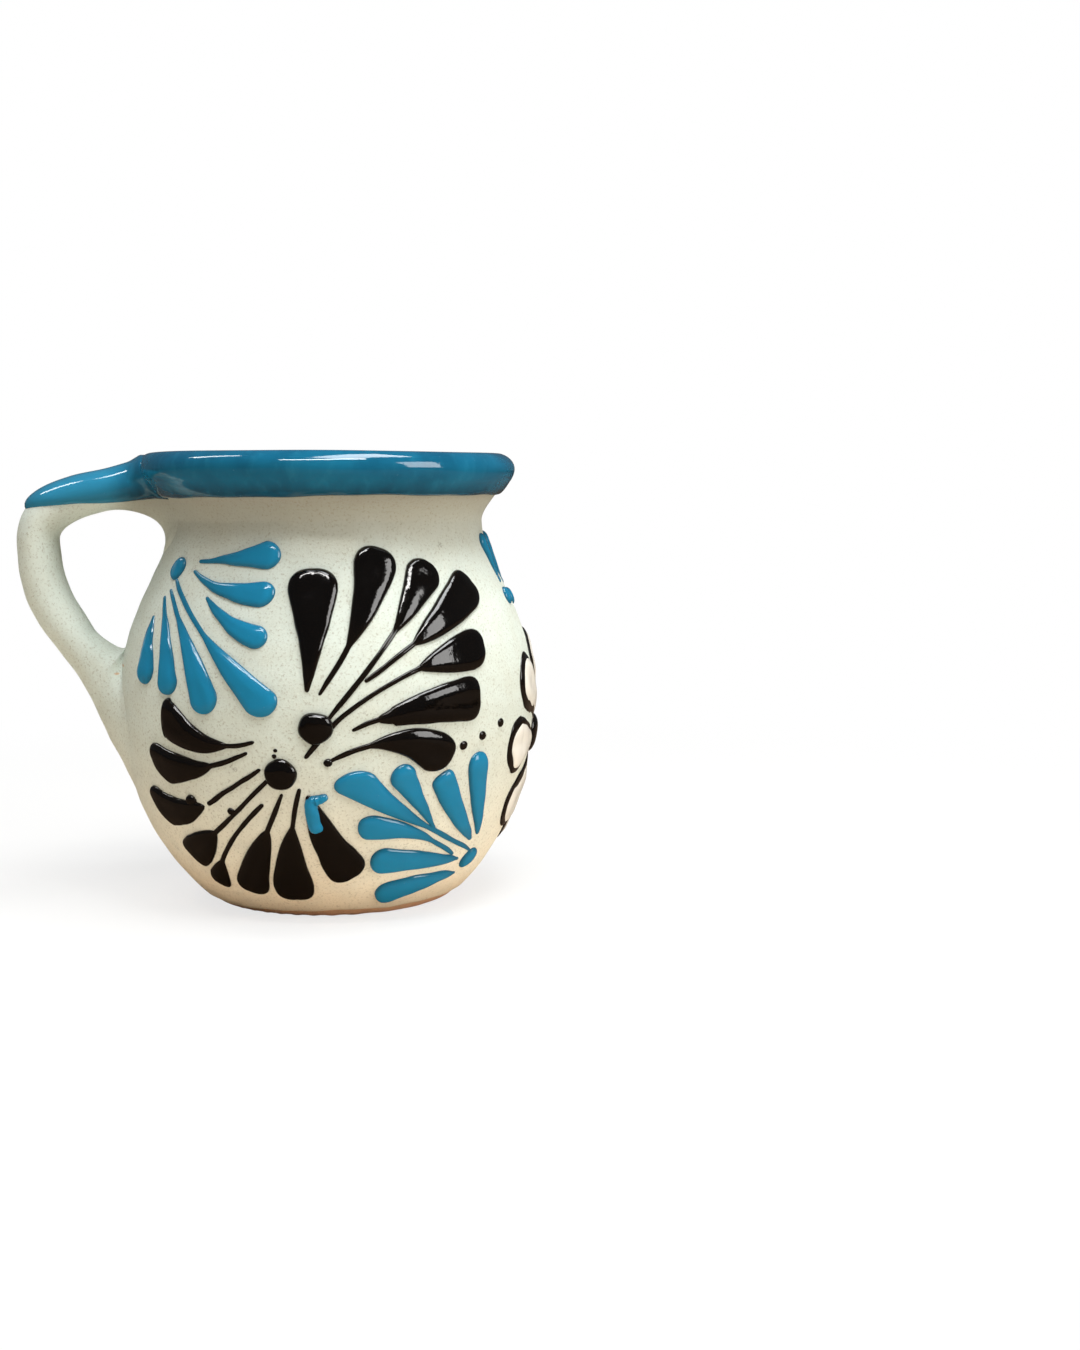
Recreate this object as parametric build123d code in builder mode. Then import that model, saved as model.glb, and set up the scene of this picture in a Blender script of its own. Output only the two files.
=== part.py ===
from build123d import *
from math import cos, degrees, pi, radians, sin, sqrt, tan
import os

# A jarrito: a wheel-thrown clay mug with a bulbous body, a drawn-in neck, a rolled lip and a pulled loop
# handle. It stands on the XY plane, with the wheel's axis on Z and the handle towards -X.
# Bearings are degrees round the axis from -Y, one broad side, towards +X, which is opposite the handle.

# Thrown clay body, to the outside of its slip
foot_radius = 26.0
foot_slope = 38.0
belly_radius = 43.5
belly_height = 43.5
neck_depth = 10.8
neck_rise = 37.0
lip_flare = 6.7
lip_rise = 14.0
lip_roll = 3.0
wall = 4.6
floor = 6.0
lip_outer_bearing = -45
lip_crest_bearing = 90
lip_inner_bearing = 135
seam_bearing = -72
wall_fullness_shares = (0.7, 1.35, 0.75)
neck_fullness_shares = (0.75, 0.3)

neck_radius = belly_radius - neck_depth
neck_height = belly_height + neck_rise
rim_radius = neck_radius + lip_flare
mug_height = neck_height + lip_rise
lip_centre = Vector(rim_radius - lip_roll, mug_height - lip_roll)

# Slip over the body, glaze over the dipped rim and handle, and glaze inside
slip_coat = 0.4
glaze_coat = 0.5
bare_foot = 2.0
glaze_drop = 8.6
dip_tilt = 1.2
lining = slip_coat + glaze_coat

# Pulled handle: its centre line's places, and its oval section along it as (place, width, thickness) shares
handle_width = 14.0
handle_thickness = 8.6
handle_drop = 4.4
handle_reach = 17.6
handle_fall = 13.5
handle_sink = 3.2
handle_top_slope = 24
handle_root_share = 0.55
handle_fullness_shares = (1.3, 1.1, 2.0)
handle_section_shares = [
    (0.00, 1.25, 0.95),
    (0.10, 1.12, 0.95),
    (0.25, 1.00, 0.98),
    (0.40, 1.00, 1.00),
    (0.55, 1.00, 1.02),
    (0.70, 1.02, 1.06),
    (0.85, 1.10, 1.02),
    (1.00, 1.15, 0.72),
]

# Trailed slip: each bead is a thin stem that swells into a rounded head and stands proud of the wall
bead_width = 8.0
stem_width = 1.3
bead_seat = 0.25
bead_rise_share = 0.4
bead_sink_share = 0.1
stem_shares = (0.0, 0.25, 0.5, 0.75, 1.0)
swell_shares = (0.2, 0.4, 0.6, 0.8, 1.0)
head_end_shares = (0.4, 0.7, 0.88, 0.97)
stroke_look_share = 0.01

# Round beads, by full width
upper_blue_eye_width = 3.8
upper_black_eye_width = 7.2
lower_black_eye_width = 7.0
lower_blue_eye_width = 3.8
crown_eye_width = 3.8
large_dot_width = 2.0
small_dot_width = 1.2

# The flower opposite the handle
flower_petals = 8
flower_reach = 24.0
flower_petal_width = 10.4
flower_outline = 0.9
flower_eye_width = 9.0
flower_climb_share = -0.2
flower_start_share = 0.25

# Places on the wall are (bearing, climb share): a climb share is -1 at the foot, 0 at the belly and 1 at
# the neck, along the wall. Each stroke has its tail, middle and head's centre, the share of its length that
# is thin stem, and the share of the bead's width that its head has.
upper_blue_eye_place_shares = (-63, 0.74)
upper_blue_stroke_shares = [
    ((-50, 0.78), (-34, 0.82), (-22, 0.84), 0.15, 0.72),
    ((-51, 0.74), (-36, 0.66), (-21, 0.63), 0.15, 0.75),
    ((-43, 0.65), (-31, 0.48), (-21, 0.40), 0.12, 0.75),
    ((-61, 0.71), (-35, 0.36), (-20, 0.07), 0.45, 0.85),
    ((-60, 0.62), (-44, 0.35), (-35, 0.09), 0.30, 0.78),
    ((-62, 0.62), (-53, 0.34), (-49, 0.16), 0.15, 0.55),
    ((-65, 0.47), (-64, 0.33), (-62, 0.18), 0.15, 0.40),
]
upper_black_eye_place_shares = (-4, -0.05)
upper_black_stroke_shares = [
    ((-6, 0.10), (-7, 0.36), (-5, 0.64), 0.12, 1.30),
    ((-3, 0.09), (3, 0.34), (14, 0.74), 0.35, 1.15),
    ((-2, -0.04), (17, 0.39), (31, 0.71), 0.55, 1.00),
    ((10, 0.18), (23, 0.33), (44, 0.61), 0.30, 1.05),
    ((-8, -0.19), (17, 0.12), (41, 0.30), 0.50, 1.02),
    ((5, -0.06), (18, 0.02), (36, 0.05), 0.25, 1.15),
    ((-2, -0.19), (10, -0.12), (27, -0.14), 0.30, 1.10),
]
lower_black_eye_place_shares = (-14, -0.25)
lower_black_stroke_shares = [
    ((-20, -0.12), (-34, -0.14), (-45, -0.05), 0.25, 0.92),
    ((-22, -0.15), (-37, -0.24), (-52, -0.22), 0.30, 0.90),
    ((-19, -0.23), (-34, -0.36), (-55, -0.43), 0.55, 0.88),
    ((-15, -0.27), (-30, -0.44), (-50, -0.64), 0.60, 0.90),
    ((-19, -0.37), (-31, -0.57), (-43, -0.77), 0.55, 0.65),
    ((-13, -0.32), (-18, -0.49), (-28, -0.76), 0.30, 0.90),
    ((-9, -0.30), (-12, -0.49), (-13, -0.76), 0.30, 1.00),
    ((-6, -0.32), (-4, -0.49), (3, -0.66), 0.15, 1.05),
]
lower_blue_eye_place_shares = (54, -0.73)
lower_blue_stroke_shares = [
    ((53, -0.69), (27, -0.47), (7, -0.31), 0.50, 0.90),
    ((33, -0.53), (25, -0.41), (20, -0.28), 0.30, 0.75),
    ((51, -0.61), (38, -0.47), (33, -0.33), 0.25, 0.72),
    ((54, -0.60), (48, -0.44), (44, -0.28), 0.15, 0.62),
    ((43, -0.67), (27, -0.55), (12, -0.48), 0.40, 0.80),
    ((47, -0.72), (30, -0.67), (18, -0.65), 0.20, 0.76),
    ((51, -0.80), (34, -0.80), (23, -0.84), 0.20, 0.65),
]
crown_eye_place_shares = [(76, 0.56), (90, 0.54), (104, 0.56)]
crown_stroke_shares = [
    ((76, 0.64), (78, 0.75), (78, 0.88), 0.15, 0.50),
    ((90, 0.62), (90, 0.74), (90, 0.88), 0.15, 0.60),
    ((104, 0.64), (102, 0.75), (102, 0.88), 0.15, 0.50),
]
stray_stroke_shares = ((-2, -0.35), (-6, -0.36), (-5, -0.48), 0.25, 0.42)
large_dot_place_shares = [(37, -0.15), (44, -0.12), (52, -0.08)]
small_dot_place_shares = [(-15, -0.155), (-14, -0.125)]

os.makedirs("parts", exist_ok=True)


def lip_spot(bearing, step):
    """A spot on the lip's roll, `step` outside the slip, by its angle on the roll."""
    radius = lip_roll + step
    return lip_centre + Vector(radius * cos(radians(bearing)), radius * sin(radians(bearing)))


def foot_spot(step):
    """Where a layer `step` outside the slip would meet the plane that the mug stands on."""
    return Vector(foot_radius + step / sin(radians(foot_slope)), 0)


def draw_wall(step, lip_end=lip_inner_bearing):
    """Outer line of a layer `step` outside the slip, from the foot up and over the lip's roll."""
    belly_spot = Vector(belly_radius + step, belly_height)
    neck_spot = Vector(neck_radius + step, neck_height)
    foot_way = Vector(cos(radians(foot_slope)), sin(radians(foot_slope)))
    wall_line = Spline(
        foot_spot(step),
        belly_spot,
        neck_spot,
        tangents=[foot_way, (0, 1), (0, 1)],
        tangent_scalars=wall_fullness_shares,
    )
    Spline(
        neck_spot,
        lip_spot(lip_outer_bearing, step),
        tangents=[(0, 1), (1, 1)],
        tangent_scalars=neck_fullness_shares,
    )
    CenterArc(lip_centre, lip_roll + step, lip_outer_bearing, lip_end - lip_outer_bearing)
    return wall_line


def floor_spot(step):
    """Where a layer `step` inside the cavity turns from the wall to the floor."""
    return Vector(foot_radius - step * tan(radians(foot_slope / 2)), floor + step)


def draw_cavity(step):
    """Inner line of a layer `step` inside the clay's cavity, from the lip's inner side down to the axis."""
    belly_spot = Vector(belly_radius - wall - step, belly_height)
    neck_spot = Vector(neck_radius - wall - step, neck_height)
    foot_way = Vector(-cos(radians(foot_slope)), -sin(radians(foot_slope)))
    Spline(
        lip_spot(lip_inner_bearing, step - slip_coat),
        neck_spot,
        tangents=[(-1, -1), (0, -1)],
        tangent_scalars=neck_fullness_shares[::-1],
    )
    Spline(
        neck_spot,
        belly_spot,
        floor_spot(step),
        tangents=[(0, -1), (0, -1), foot_way],
        tangent_scalars=wall_fullness_shares[::-1],
    )
    Line(floor_spot(step), (0, floor + step))


# Every thrown layer is turned from its outline on this plane, whose seam lies on a bare stretch of wall
profile_plane = Plane.XZ.rotated((0, 0, seam_bearing - 90))

# Clay body: wall, floor and rolled lip
with BuildPart() as clay_body:
    with BuildSketch(profile_plane):
        with BuildLine():
            draw_wall(-slip_coat)
            draw_cavity(0)
            Polyline((0, floor), (0, 0), foot_spot(-slip_coat))
        make_face()
    revolve(axis=Axis.Z)


def filled_pot(step):
    """Everything inside a layer's outer line, to trim what stands on that layer."""
    with BuildPart() as pot:
        with BuildSketch(profile_plane):
            with BuildLine():
                draw_wall(step, lip_crest_bearing)
                Polyline(lip_spot(lip_crest_bearing, step), (0, mug_height + step), (0, 0), foot_spot(step))
            make_face()
        revolve(axis=Axis.Z)
    return pot.part


def coat(inner_step, outer_step):
    """The full layer between two steps of the wall's outer line."""
    with BuildPart() as layer:
        with BuildSketch(profile_plane):
            with BuildLine():
                draw_wall(inner_step)
                draw_wall(outer_step)
                Line(foot_spot(inner_step), foot_spot(outer_step))
                Line(lip_spot(lip_inner_bearing, inner_step), lip_spot(lip_inner_bearing, outer_step))
            make_face()
        revolve(axis=Axis.Z)
    return layer.part


# The slip's outer line from foot to neck, as radius and height: it carries the handle's root and the beads
with BuildLine():
    wall_line = draw_wall(0)
belly_share = wall_line.param_at_point((belly_radius, belly_height))
below_belly = wall_line.length * belly_share


def wall_plane(bearing, climb_share):
    """Plane that touches the slip at a place: x runs round the mug, y up the wall and z outwards."""
    span_share = belly_share if climb_share < 0 else 1 - belly_share
    along = belly_share + climb_share * span_share
    turn = bearing - 90
    spot = wall_line.position_at(along)
    up_wall = wall_line.tangent_at(along)
    return Plane(
        origin=Vector(spot.X, 0, spot.Y).rotate(Axis.Z, turn),
        x_dir=Vector(0, 1, 0).rotate(Axis.Z, turn),
        z_dir=Vector(up_wall.Y, 0, -up_wall.X).rotate(Axis.Z, turn),
    )


# Handle: a pulled strap of oval section, from the lip's roll out and down to the lower body
root_plane = wall_plane(-90, handle_root_share - 1)
handle_start = Vector(-lip_centre.X, 0, mug_height - handle_drop)
handle_peak = Vector(-belly_radius - handle_reach, 0, handle_start.Z - handle_fall)
handle_end = root_plane.origin - root_plane.z_dir * handle_sink
top_way = Vector(-cos(radians(handle_top_slope)), 0, -sin(radians(handle_top_slope)))
handle_line = Spline(
    handle_start,
    handle_peak,
    handle_end,
    tangents=[top_way, (0, 0, -1), -root_plane.y_dir],
    tangent_scalars=handle_fullness_shares,
    mode=Mode.PRIVATE,
)


def handle_strap(step):
    """The whole strap, `step` outside its clay, with both ends inside the wall."""
    with BuildPart() as strap:
        for place, width_share, thickness_share in handle_section_shares:
            section = Plane(
                origin=handle_line.position_at(place), x_dir=(0, 1, 0), z_dir=handle_line.tangent_at(place)
            )
            with BuildSketch(section):
                Ellipse(
                    handle_width * width_share / 2 + step,
                    handle_thickness * thickness_share / 2 + step,
                )
        sweep(path=handle_line, multisection=True)
    return strap.part


strap = handle_strap(0)
glazed_strap = handle_strap(glaze_coat)
slip_pot = filled_pot(0)

with BuildPart() as handle:
    add(strap)
    add(filled_pot(-slip_coat), mode=Mode.SUBTRACT)

# Slip over the outside, from just above the bare foot up over the lip
with BuildPart() as slip_coat_layer:
    add(coat(-slip_coat, 0))
    split(bisect_by=Plane.XY.offset(bare_foot), keep=Keep.TOP)
    add(strap, mode=Mode.SUBTRACT)

# Glaze where the rim and the handle's top were dipped upside down, with a nearly level edge
dip_plane = Plane(
    origin=(0, 0, mug_height - glaze_drop), z_dir=(-sin(radians(dip_tilt)), 0, cos(radians(dip_tilt)))
)

with BuildPart() as rim_glaze:
    add(coat(0, glaze_coat))
    split(bisect_by=dip_plane, keep=Keep.TOP)
    add(glazed_strap, mode=Mode.SUBTRACT)

with BuildPart() as handle_glaze:
    add(glazed_strap)
    add(strap, mode=Mode.SUBTRACT)
    add(slip_pot, mode=Mode.SUBTRACT)
    split(bisect_by=dip_plane, keep=Keep.TOP)

# Glaze inside, from the lip's inner side down over the wall and floor
with BuildPart() as inner_glaze:
    with BuildSketch(profile_plane):
        with BuildLine():
            draw_cavity(0)
            draw_cavity(lining)
            Line(lip_spot(lip_inner_bearing, -slip_coat), lip_spot(lip_inner_bearing, glaze_coat))
            Line((0, floor), (0, floor + lining))
        make_face()
    revolve(axis=Axis.Z)


def stroke_line(tail, middle, head):
    """Place on the wall by share of a stroke's length: one bend through its spots, then straight on."""
    spots = (tail, middle, head)
    origins = [wall_plane(*spot).origin for spot in spots]
    first = (origins[1] - origins[0]).length
    second = (origins[2] - origins[1]).length
    middle_share = first / (first + second)

    def wall_place(along):
        here = min(along, 1)
        weights = (
            (here - middle_share) * (here - 1) / middle_share,
            here * (here - 1) / (middle_share * (middle_share - 1)),
            here * (here - middle_share) / (1 - middle_share),
        )
        end_slopes = (
            (1 - middle_share) / middle_share,
            1 / (middle_share * (middle_share - 1)),
            (2 - middle_share) / (1 - middle_share),
        )
        blend = [weight + (along - here) * slope for weight, slope in zip(weights, end_slopes)]
        bearing = sum(part * spot[0] for part, spot in zip(blend, spots))
        climb_share = sum(part * spot[1] for part, spot in zip(blend, spots))
        return wall_plane(bearing, climb_share)

    return wall_place, first + second


def standing_on_slip(bead, seat):
    """What is left of a bead outside the slip."""
    with BuildPart() as trimmed:
        add(bead)
        add(slip_pot, mode=Mode.SUBTRACT)
    return max(trimmed.solids(), key=lambda piece: (piece.center() - seat.origin).dot(seat.z_dir))


def trailed_bead(stroke, widest, thinnest=stem_width):
    """One trailed stroke: sections along its line, joined and trimmed to what stands on the slip."""
    tail, middle, head, stem_share, width_share = stroke
    half_width = widest * width_share / 2
    half_stem = min(thinnest / 2, half_width)
    wall_place, length = stroke_line(tail, middle, head)
    sizes = [(stem_share * share, half_stem) for share in stem_shares]
    for share in swell_shares:
        along = stem_share + (1 - stem_share) * share
        sizes.append((along, half_stem + (half_width - half_stem) * sin(pi / 2 * share)))
    for share in head_end_shares:
        sizes.append((1 + share * half_width / length, half_width * sqrt(1 - share**2)))
    with BuildPart() as bead:
        for along, half in sizes:
            place = wall_place(along)
            way = (wall_place(along + stroke_look_share).origin - place.origin).normalized()
            sink = bead_seat + half * bead_sink_share
            base = place.origin - place.z_dir * sink
            with BuildSketch(Plane(origin=base, x_dir=place.z_dir.cross(way), z_dir=way)):
                with BuildLine():
                    ThreePointArc((half, 0), (0, half * bead_rise_share + sink), (-half, 0))
                    Line((-half, 0), (half, 0))
                make_face()
        loft(ruled=True)
    return standing_on_slip(bead.part, wall_place(0.5))


def round_bead(place, width):
    """A round dome, a cap of a sphere, that stands on the slip."""
    seat = wall_plane(*place)
    half = width / 2
    sink = bead_seat + half * bead_sink_share
    base = seat.origin - seat.z_dir * sink
    with BuildPart() as dome:
        with BuildSketch(Plane(origin=base, x_dir=seat.x_dir, z_dir=seat.x_dir.cross(seat.z_dir))):
            with BuildLine():
                ThreePointArc((half, 0), (0, half * bead_rise_share + sink), (-half, 0))
                Line((-half, 0), (half, 0))
            make_face()
            Rectangle(width, width, align=(Align.MAX, Align.CENTER), mode=Mode.SUBTRACT)
        revolve(axis=Axis(base, seat.z_dir))
    return standing_on_slip(dome.part, seat)


def grouped(beads, laid_before=()):
    """Beads fused where they run into each other, and trimmed by what was laid before them."""
    with BuildPart() as group:
        add(beads)
        for earlier in laid_before:
            add(earlier.part, mode=Mode.SUBTRACT)
    return group


# Four fans of strokes, each from its own eye, on the broad side at -Y, and the same again on the far side
fans = {
    "upper_blue": (upper_blue_eye_place_shares, upper_blue_eye_width, upper_blue_stroke_shares),
    "upper_black": (upper_black_eye_place_shares, upper_black_eye_width, upper_black_stroke_shares),
    "lower_black": (lower_black_eye_place_shares, lower_black_eye_width, lower_black_stroke_shares),
    "lower_blue": (lower_blue_eye_place_shares, lower_blue_eye_width, lower_blue_stroke_shares),
}
pieces = {
    "clay_body": clay_body,
    "handle": handle,
    "slip_coat": slip_coat_layer,
    "rim_glaze": rim_glaze,
    "handle_glaze": handle_glaze,
    "inner_glaze": inner_glaze,
}
for name, (eye_place, eye_width, strokes) in fans.items():
    eye = grouped([round_bead(eye_place, eye_width)])
    petals = grouped([trailed_bead(stroke, bead_width) for stroke in strokes], [eye])
    for kind, near in (("eye", eye), ("petals", petals)):
        with BuildPart() as far:
            mirror(near.part, about=Plane.XZ)
        pieces[f"{name}_{kind}"] = near
        pieces[f"far_{name}_{kind}"] = far

# Three blue strokes over the flower
pieces["crown_eyes"] = grouped([round_bead(place, crown_eye_width) for place in crown_eye_place_shares])
pieces["crown_petals"] = grouped(
    [trailed_bead(stroke, bead_width) for stroke in crown_stroke_shares], [pieces["crown_eyes"]]
)

# The flower: white petals trailed over wider black ones, round a black eye
flower_place = (90, flower_climb_share)


def flower_strokes():
    """The petals' strokes, evenly round the flower's place."""
    strokes = []
    head_reach = flower_reach - flower_petal_width / 2
    for petal in range(flower_petals):
        angle = 2 * pi * petal / flower_petals
        spots = []
        for share in (flower_start_share, (1 + flower_start_share) / 2, 1):
            round_mug = degrees(head_reach * share * cos(angle) / belly_radius)
            up_wall = head_reach * share * sin(angle) / below_belly
            spots.append((flower_place[0] + round_mug, flower_place[1] + up_wall))
        strokes.append((*spots, flower_start_share, 1))
    return strokes


pieces["flower_eye"] = grouped([round_bead(flower_place, flower_eye_width)])
white_beads = [trailed_bead(stroke, flower_petal_width, 2 * stem_width) for stroke in flower_strokes()]
pieces["flower_petals"] = grouped(white_beads, [pieces["flower_eye"]])
black_width = flower_petal_width + 2 * flower_outline
black_beads = [trailed_bead(stroke, black_width, 2 * stem_width) for stroke in flower_strokes()]
pieces["flower_outline"] = grouped(black_beads, [pieces["flower_eye"], pieces["flower_petals"]])

# A stray blue stroke that fell across a black one, and the dots
pieces["stray_drop"] = grouped(
    [trailed_bead(stray_stroke_shares, bead_width)],
    [pieces["lower_black_petals"]],
)
dots = [round_bead(place, large_dot_width) for place in large_dot_place_shares]
dots += [round_bead(place, small_dot_width) for place in small_dot_place_shares]
pieces["dots"] = grouped(dots)

for name, piece in pieces.items():
    piece.part.label = name
    export_step(piece.part, f"parts/{name}.step")
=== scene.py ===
import math

import bmesh
import bpy
import numpy as np
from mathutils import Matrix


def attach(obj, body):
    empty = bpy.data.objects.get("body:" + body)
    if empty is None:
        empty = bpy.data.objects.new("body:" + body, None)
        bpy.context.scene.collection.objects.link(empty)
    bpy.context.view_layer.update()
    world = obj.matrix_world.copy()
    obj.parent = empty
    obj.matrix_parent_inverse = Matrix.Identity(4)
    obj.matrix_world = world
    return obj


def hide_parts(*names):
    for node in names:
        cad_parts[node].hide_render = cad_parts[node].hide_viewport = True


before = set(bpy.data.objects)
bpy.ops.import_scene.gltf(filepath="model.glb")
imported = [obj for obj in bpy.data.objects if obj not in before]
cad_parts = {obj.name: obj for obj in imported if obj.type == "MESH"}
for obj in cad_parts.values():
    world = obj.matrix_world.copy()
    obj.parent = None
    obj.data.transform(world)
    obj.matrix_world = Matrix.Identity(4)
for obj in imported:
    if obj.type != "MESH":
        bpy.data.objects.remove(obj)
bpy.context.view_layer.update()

# The thrown pot: red earthenware, turned on a wheel and cut off it with a wire. Only the foot's underside and
# a thin line above it stay bare. Every layer on the pot follows this one line from foot to floor.
mm = 0.001
foot_radius = 26.0 * mm
foot_slope = math.radians(38)
belly = (43.5 * mm, 43.5 * mm)
neck = (32.7 * mm, 80.5 * mm)
lip_centre = (36.4 * mm, 91.5 * mm)
lip_roll = 3.0 * mm
mug_height = 94.5 * mm
slip_thickness = 0.4 * mm
wall = 4.6 * mm
floor_height = 6.0 * mm
slope_way = (math.cos(foot_slope), math.sin(foot_slope))
up_way = (0, 1)
flare_way = (math.sqrt(0.5), math.sqrt(0.5))
drawn_spots = 240


def drawn(start, end, start_way, end_way, start_fullness, end_fullness):
    """One drawn curve between two spots, which leaves and meets them in the ways given."""
    start, end, start_way, end_way = (np.array(v, float) for v in (start, end, start_way, end_way))
    chord = np.linalg.norm(end - start)
    along = np.linspace(0, 1, drawn_spots)[:, None]
    leave = start_way * start_fullness * chord
    meet = end_way * end_fullness * chord
    return (
        start * (2 * along**3 - 3 * along**2 + 1)
        + leave * (along**3 - 2 * along**2 + along)
        + end * (3 * along**2 - 2 * along**3)
        + meet * (along**3 - along**2)
    )


def roll_spot(angle):
    """A spot on the lip's rolled edge, by its angle from level."""
    turn = math.radians(angle)
    return lip_centre[0] + lip_roll * math.cos(turn), lip_centre[1] + lip_roll * math.sin(turn)


def eased(share):
    """0 below 0, 1 above 1, and an even ease between."""
    share = np.clip(share, 0, 1)
    return share * share * (3 - 2 * share)


lower_wall = drawn((foot_radius, 0), belly, slope_way, up_way, 0.7, 1.35)
upper_wall = drawn(belly, neck, up_way, up_way, 1.35, 0.75)
flare = drawn(neck, roll_spot(-45), up_way, flare_way, 0.75, 0.3)
roll = np.array([roll_spot(angle) for angle in np.linspace(-45, 135, 120)])
lining = wall - slip_thickness
inner_neck = (neck[0] - lining, neck[1])
inner_belly = (belly[0] - lining, belly[1])
inner_foot = (foot_radius - slip_thickness * math.tan(foot_slope / 2), floor_height + slip_thickness)
down_way = (0, -1)
inner_flare = drawn(roll_spot(135), inner_neck, (-flare_way[0], -flare_way[1]), down_way, 0.3, 0.75)
inner_upper = drawn(inner_neck, inner_belly, down_way, down_way, 0.75, 1.35)
inner_lower = drawn(inner_belly, inner_foot, down_way, (-slope_way[0], -slope_way[1]), 1.35, 0.7)
inner_floor = np.linspace(inner_foot, (0, floor_height + slip_thickness), 120)
runs = [lower_wall, upper_wall, flare, roll, inner_flare, inner_upper, inner_lower, inner_floor]
pot_line = np.concatenate([runs[0]] + [run[1:] for run in runs[1:]])


def lengths_along(line):
    """The length up to each spot of a line."""
    steps = np.linalg.norm(np.diff(line, axis=0), axis=1)
    return np.concatenate([[0], np.cumsum(steps)])


def evened(line, spacing):
    """The line in equal steps, and the length up to each spot."""
    run = lengths_along(line)
    even = np.linspace(0, run[-1], int(run[-1] / spacing))
    return np.column_stack([np.interp(even, run, line[:, axis]) for axis in range(line.shape[1])]), even


pot_line, pot_run = evened(pot_line, 0.1 * mm)
floor_turn = int(np.argmin(np.linalg.norm(pot_line - inner_foot, axis=1)))
soft_turn = 60
for spot in range(floor_turn - soft_turn, floor_turn + soft_turn):
    reach = soft_turn - abs(spot - floor_turn)
    around = pot_line[spot - reach : spot + reach + 1]
    pot_line[spot] = (around[0] + around[-1]) / 2 * 0.5 + pot_line[spot] * 0.5
pot_way = np.gradient(pot_line, axis=0)
pot_way /= np.linalg.norm(pot_way, axis=1)[:, None]
pot_out = np.column_stack([pot_way[:, 1], -pot_way[:, 0]])
belly_run, neck_run, crest_run, inner_run = (
    pot_run[int(np.argmin(np.linalg.norm(pot_line - spot, axis=1)))]
    for spot in (belly, neck, (lip_centre[0], mug_height), roll_spot(135))
)


def pot_spot(run, bearing, lift):
    """Spots `lift` off the slip, by length along the pot's line and by bearing, 0 at the near side."""
    run, bearing, lift = np.broadcast_arrays(run, bearing, lift)
    radius, height, out, up = (
        np.interp(run, pot_run, column) for column in (*pot_line.T, *pot_out.T)
    )
    radius = np.maximum(radius + lift * out, 0)
    turn = np.radians(bearing)
    return np.stack([radius * np.sin(turn), -radius * np.cos(turn), height + lift * up], -1)


oval_depth = 0.16 * mm
wobble_depth = 0.07 * mm
ring_depth = 0.035 * mm
ring_pitch = 6.1 * mm
lip_tilt = 0.45 * mm
lip_sag = 0.45 * mm
side_fullness = 1.4 * mm


def thrown(spots):
    """The wheel's traces: an oval pot, soft finger rings, an uneven lip and a fuller side at the handle."""
    x, y, z = spots[..., 0], spots[..., 1], spots[..., 2]
    turn = np.arctan2(x, -y)
    handle_side = np.clip(-np.sin(turn), 0, 1)
    radius = np.hypot(x, y)
    climb = z / mug_height
    push = oval_depth * np.cos(2 * turn + 0.6) * climb
    push += wobble_depth * np.sin(3 * turn + 5 * climb)
    push += ring_depth * np.sin(2 * math.pi * z / ring_pitch + turn)
    push *= eased(radius / (20 * mm))
    rise = -x / (40 * mm) * lip_tilt + 0.1 * mm * np.sin(3 * turn + 1)
    rise -= lip_sag * handle_side**6 * (1 - eased((radius - 46 * mm) / (8 * mm)))
    rise = rise * eased((z - 60 * mm) / (30 * mm))
    full_side = np.exp(-(((z - 45 * mm) / (36 * mm)) ** 6)) * handle_side**3
    push += side_fullness * full_side * (1 - eased((radius - 45 * mm) / (9 * mm)))
    grown = 1 + push / np.maximum(radius, 1 * mm)
    return np.stack([x * grown, y * grown, z + rise], -1)


def skin(name, grid, cap=True):
    """A mesh over a grid of spots on the thrown pot, closed round its columns; `cap` closes its end rows."""
    rows, columns = grid.shape[:2]
    spots = thrown(grid).reshape(-1, 3)
    faces = []
    for row in range(rows - 1):
        for column in range(columns):
            beside = (column + 1) % columns
            lower, upper = row * columns, (row + 1) * columns
            faces.append((lower + column, lower + beside, upper + beside, upper + column))
    if cap:
        faces.append(tuple(range(columns))[::-1])
        faces.append(tuple((rows - 1) * columns + column for column in range(columns)))
    mesh = bpy.data.meshes.new(name)
    mesh.from_pydata(spots.tolist(), [], faces)
    mesh.validate()
    mesh.shade_smooth()
    piece = bpy.data.objects.new(name, mesh)
    bpy.context.scene.collection.objects.link(piece)
    return piece


class Wire:
    """A value that varies over a surface, for arithmetic on it."""

    def __init__(self, finish, socket):
        self.finish = finish
        self.socket = socket

    def maths(self, operation, *values, **settings):
        """A Math node on these values."""
        settings["operation"] = operation
        return self.finish.node("Math", "Value", settings, dict(enumerate(values)))

    def __add__(self, other):
        return self.maths("ADD", self, other)

    __radd__ = __add__

    def __mul__(self, other):
        return self.maths("MULTIPLY", self, other)

    __rmul__ = __mul__

    def __sub__(self, other):
        return self.maths("SUBTRACT", self, other)

    def __rsub__(self, other):
        return self.maths("SUBTRACT", other, self)

    def held(self):
        """Kept between 0 and 1."""
        return self.maths("MULTIPLY", self, 1, use_clamp=True)

    def between(self, low, high):
        """0 at low, 1 at high, eased and held between them."""
        return self.finish.node(
            "MapRange", "Result", {"interpolation_type": "SMOOTHSTEP"}, {0: self, 1: low, 2: high}
        )


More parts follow.
